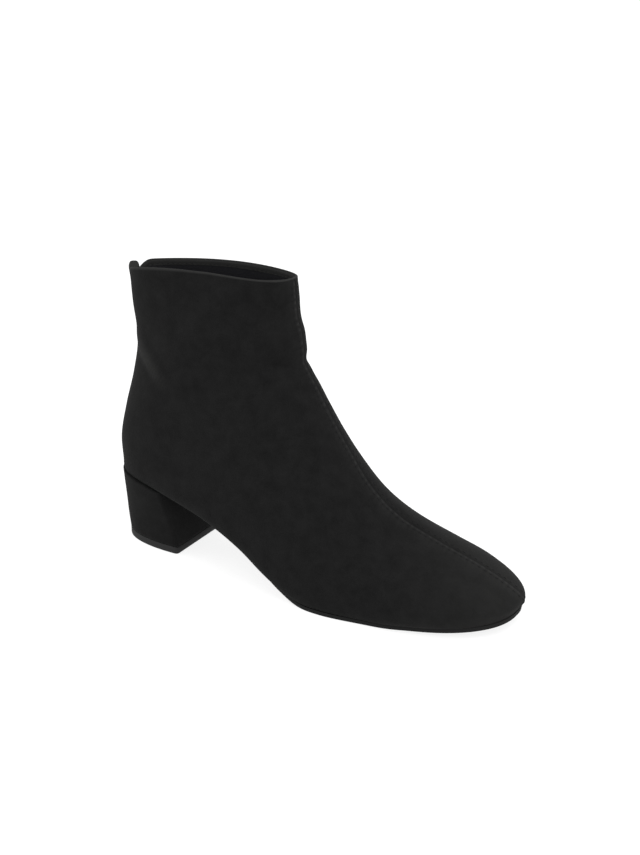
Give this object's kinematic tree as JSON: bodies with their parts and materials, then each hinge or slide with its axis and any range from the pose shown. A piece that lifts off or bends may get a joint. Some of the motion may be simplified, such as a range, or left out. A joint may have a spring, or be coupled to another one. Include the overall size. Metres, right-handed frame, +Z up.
{
  "type": "block heel ankle boot",
  "caption": "Black suede ankle boot for the right foot with a raised centre front seam, open collar, covered back zip, thin rubber sole and a suede covered block heel.",
  "frame": {"origin": "middle of the boot's box on the floor", "axes": "+X towards the toe, +Y to the wearer's left, +Z up"},
  "size_m": [0.2418, 0.0834, 0.1613],
  "materials": {
    "suede": "black suede with a short soft nap",
    "heel_suede": "black suede stretched over the heel block",
    "lining": "smooth blue-black lining leather",
    "sole_rubber": "matt black moulded rubber",
    "tip_rubber": "dark grey hard rubber",
    "zip_tape": "black woven zip tape with a nylon coil",
    "zip_metal": "dark nickel plated zip slider"
  },
  "bodies": {
    "root": {"upper": "suede", "insole": "lining", "outsole": "sole_rubber", "heel": "heel_suede", "heel_tip": "tip_rubber", "zip": "zip_tape", "zip_slider": "zip_metal", "zip_guard": "suede"}
  },
  "joints": []
}
